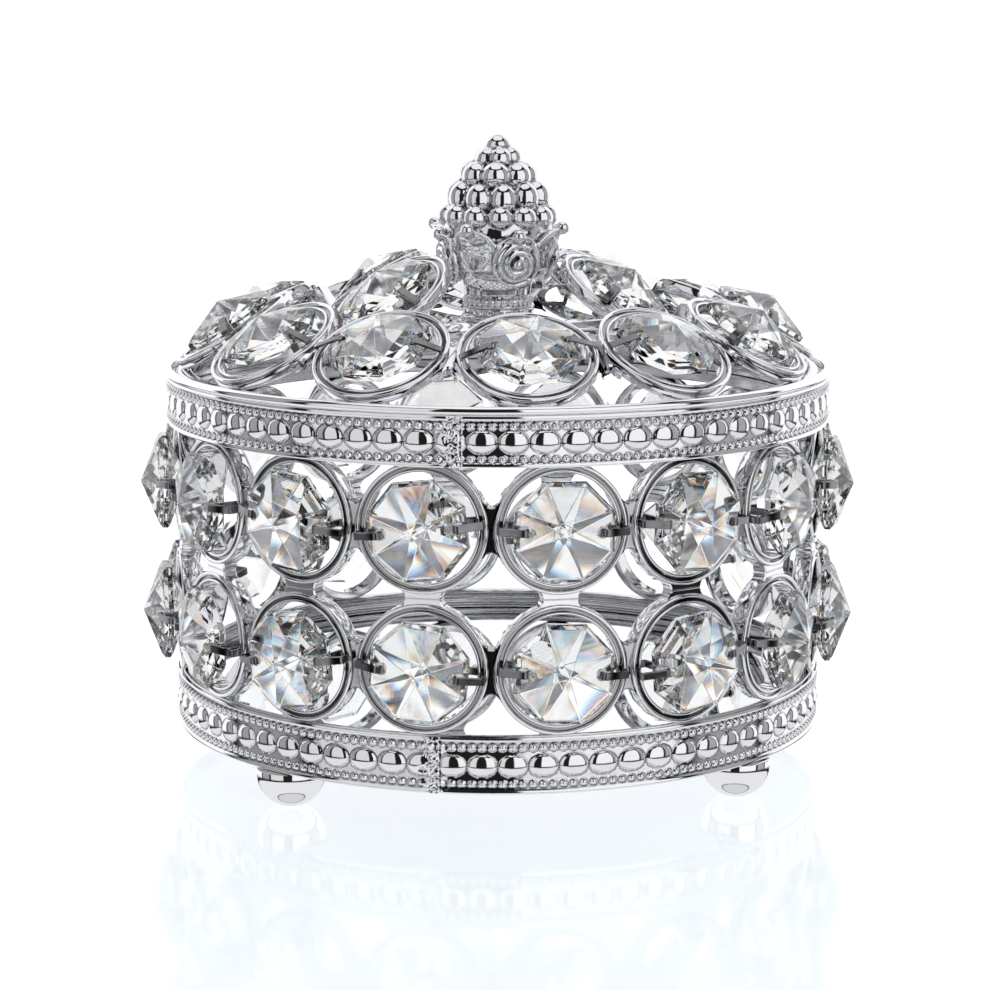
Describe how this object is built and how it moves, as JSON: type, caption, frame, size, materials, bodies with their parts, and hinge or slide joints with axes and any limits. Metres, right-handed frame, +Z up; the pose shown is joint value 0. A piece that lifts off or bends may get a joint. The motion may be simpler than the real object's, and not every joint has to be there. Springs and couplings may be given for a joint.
{
  "type": "trinket box",
  "caption": "Round vanity trinket box of chrome rings and faceted glass beads, with a lift-off lid, a fruit-cluster finial and ball feet.",
  "frame": {"origin": "on the table, on the box's centre line, under the middle of the four ball feet", "axes": "+Z up along the centre line, -Y towards the viewer's side, +X to the viewer's right"},
  "size_m": [0.1082, 0.1082, 0.095],
  "materials": {
    "chrome_plate": "bright chrome plate on zinc and sheet metal",
    "clip_wire": "black nickel plate on flat wire",
    "crystal": "clear cut crystal glass",
    "mirror_glass": "silvered glass",
    "foam_pad": "closed-cell foam tape",
    "fastener_steel": "zinc-plated steel"
  },
  "bodies": {
    "box": {"base_tray": "chrome_plate", "base_trim_band": "chrome_plate", "mirror_pad": "foam_pad", "floor_mirror": "mirror_glass", "wall_rings_lower": "chrome_plate", "wall_rings_upper": "chrome_plate", "wall_top_rim": "chrome_plate", "bead_clips_lower": "clip_wire", "bead_clips_upper": "clip_wire", "foot_screws": "fastener_steel", "foot_1": "chrome_plate", "foot_2": "chrome_plate", "foot_3": "chrome_plate", "foot_4": "chrome_plate", "lower_bead_1": "crystal", "lower_bead_2": "crystal", "lower_bead_3": "crystal", "lower_bead_4": "crystal", "lower_bead_5": "crystal", "lower_bead_6": "crystal", "lower_bead_7": "crystal", "lower_bead_8": "crystal", "lower_bead_9": "crystal", "lower_bead_10": "crystal", "lower_bead_11": "crystal", "lower_bead_12": "crystal", "lower_bead_13": "crystal", "lower_bead_14": "crystal", "lower_bead_15": "crystal", "lower_bead_16": "crystal", "upper_bead_1": "crystal", "upper_bead_2": "crystal", "upper_bead_3": "crystal", "upper_bead_4": "crystal", "upper_bead_5": "crystal", "upper_bead_6": "crystal", "upper_bead_7": "crystal", "upper_bead_8": "crystal", "upper_bead_9": "crystal", "upper_bead_10": "crystal", "upper_bead_11": "crystal", "upper_bead_12": "crystal", "upper_bead_13": "crystal", "upper_bead_14": "crystal", "upper_bead_15": "crystal", "upper_bead_16": "crystal"},
    "lid": {"lid_trim_band": "chrome_plate", "lid_rim_wire": "chrome_plate", "lid_seat_ring": "chrome_plate", "lid_rings_outer": "chrome_plate", "lid_rings_inner": "chrome_plate", "lid_clips_outer": "clip_wire", "lid_clips_inner": "clip_wire", "lid_beads_outer": "crystal", "lid_beads_inner": "crystal", "finial": "chrome_plate", "finial_collar": "chrome_plate", "finial_stud": "fastener_steel", "finial_washer": "fastener_steel", "finial_nut": "fastener_steel"}
  },
  "joints": [
    {"name": "lid_lift", "type": "slide", "parent": "box", "child": "lid", "axis": [0, 0, 1], "range_m": [0, 0.06]}
  ]
}
